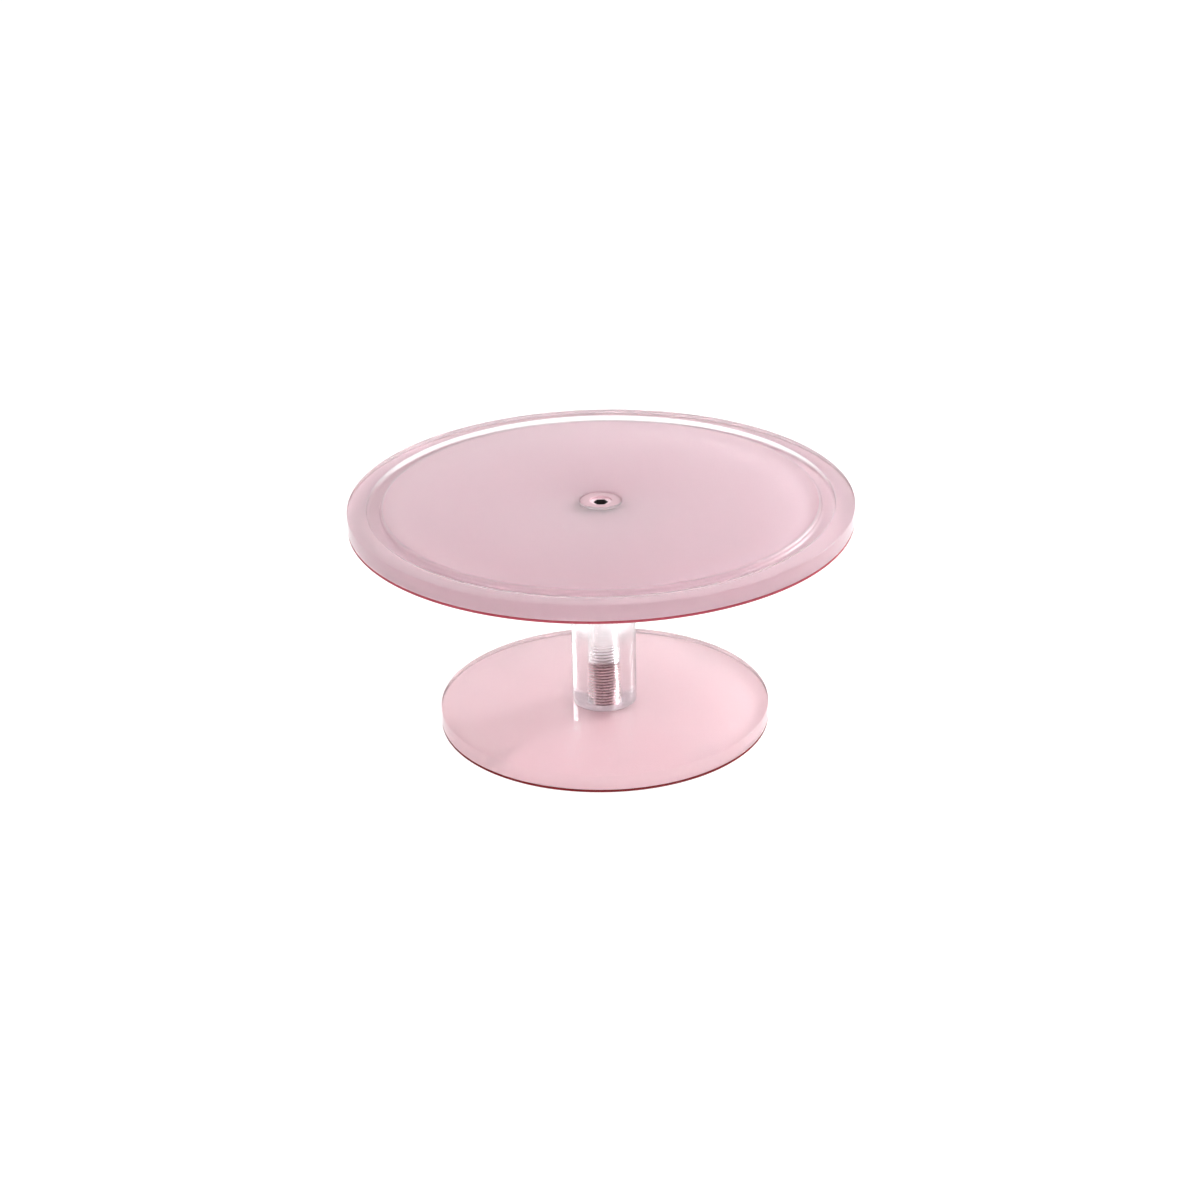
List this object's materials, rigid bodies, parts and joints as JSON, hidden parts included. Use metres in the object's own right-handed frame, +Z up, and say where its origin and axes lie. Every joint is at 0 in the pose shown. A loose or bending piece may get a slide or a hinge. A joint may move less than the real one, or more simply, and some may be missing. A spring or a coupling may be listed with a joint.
{
  "type": "cake turntable",
  "caption": "Round plate with a shallow rim groove, turning on a ball bearing on a clear post that is screwed to a smaller round base.",
  "frame": {"origin": "on the ground at the centre of the base", "axes": "+Z up along the post and the plate's turning axis; +X and +Y level, with the hex sockets' corners on X"},
  "size_m": [0.27, 0.27, 0.13],
  "materials": {
    "clear_acrylic": "clear polished acrylic",
    "pink_layer": "translucent pink sheet",
    "clear_post": "clear polished acrylic rod",
    "steel": "zinc plated steel",
    "bearing_steel": "ground bearing steel",
    "cage_steel": "pressed steel",
    "bush_plastic": "pink acetal",
    "foot_rubber": "soft translucent rubber"
  },
  "bodies": {
    "stand": {"base_plate": "clear_acrylic", "base_colour_layer": "pink_layer", "foot_pads": "foot_rubber", "base_screw": "steel", "post": "clear_post", "axle_stud": "steel", "lower_race": "bearing_steel", "retaining_collar": "bush_plastic"},
    "turntable": {"top_plate": "clear_acrylic", "top_colour_layer": "pink_layer", "plate_bush": "bush_plastic", "upper_race": "bearing_steel", "slip_washer": "bush_plastic"},
    "cage": {"ball_cage": "cage_steel", "bearing_balls": "bearing_steel"}
  },
  "joints": [
    {"name": "plate_spin", "type": "hinge", "parent": "stand", "child": "turntable", "pos_m": [0, 0, 0.12], "axis": [0, 0, 1], "continuous": true},
    {"name": "cage_spin", "type": "hinge", "parent": "stand", "child": "cage", "pos_m": [0, 0, 0.1155], "axis": [0, 0, 1], "continuous": true}
  ],
  "couplings": [
    {"joint": "cage_spin", "follows": "plate_spin", "ratio": 0.5}
  ]
}
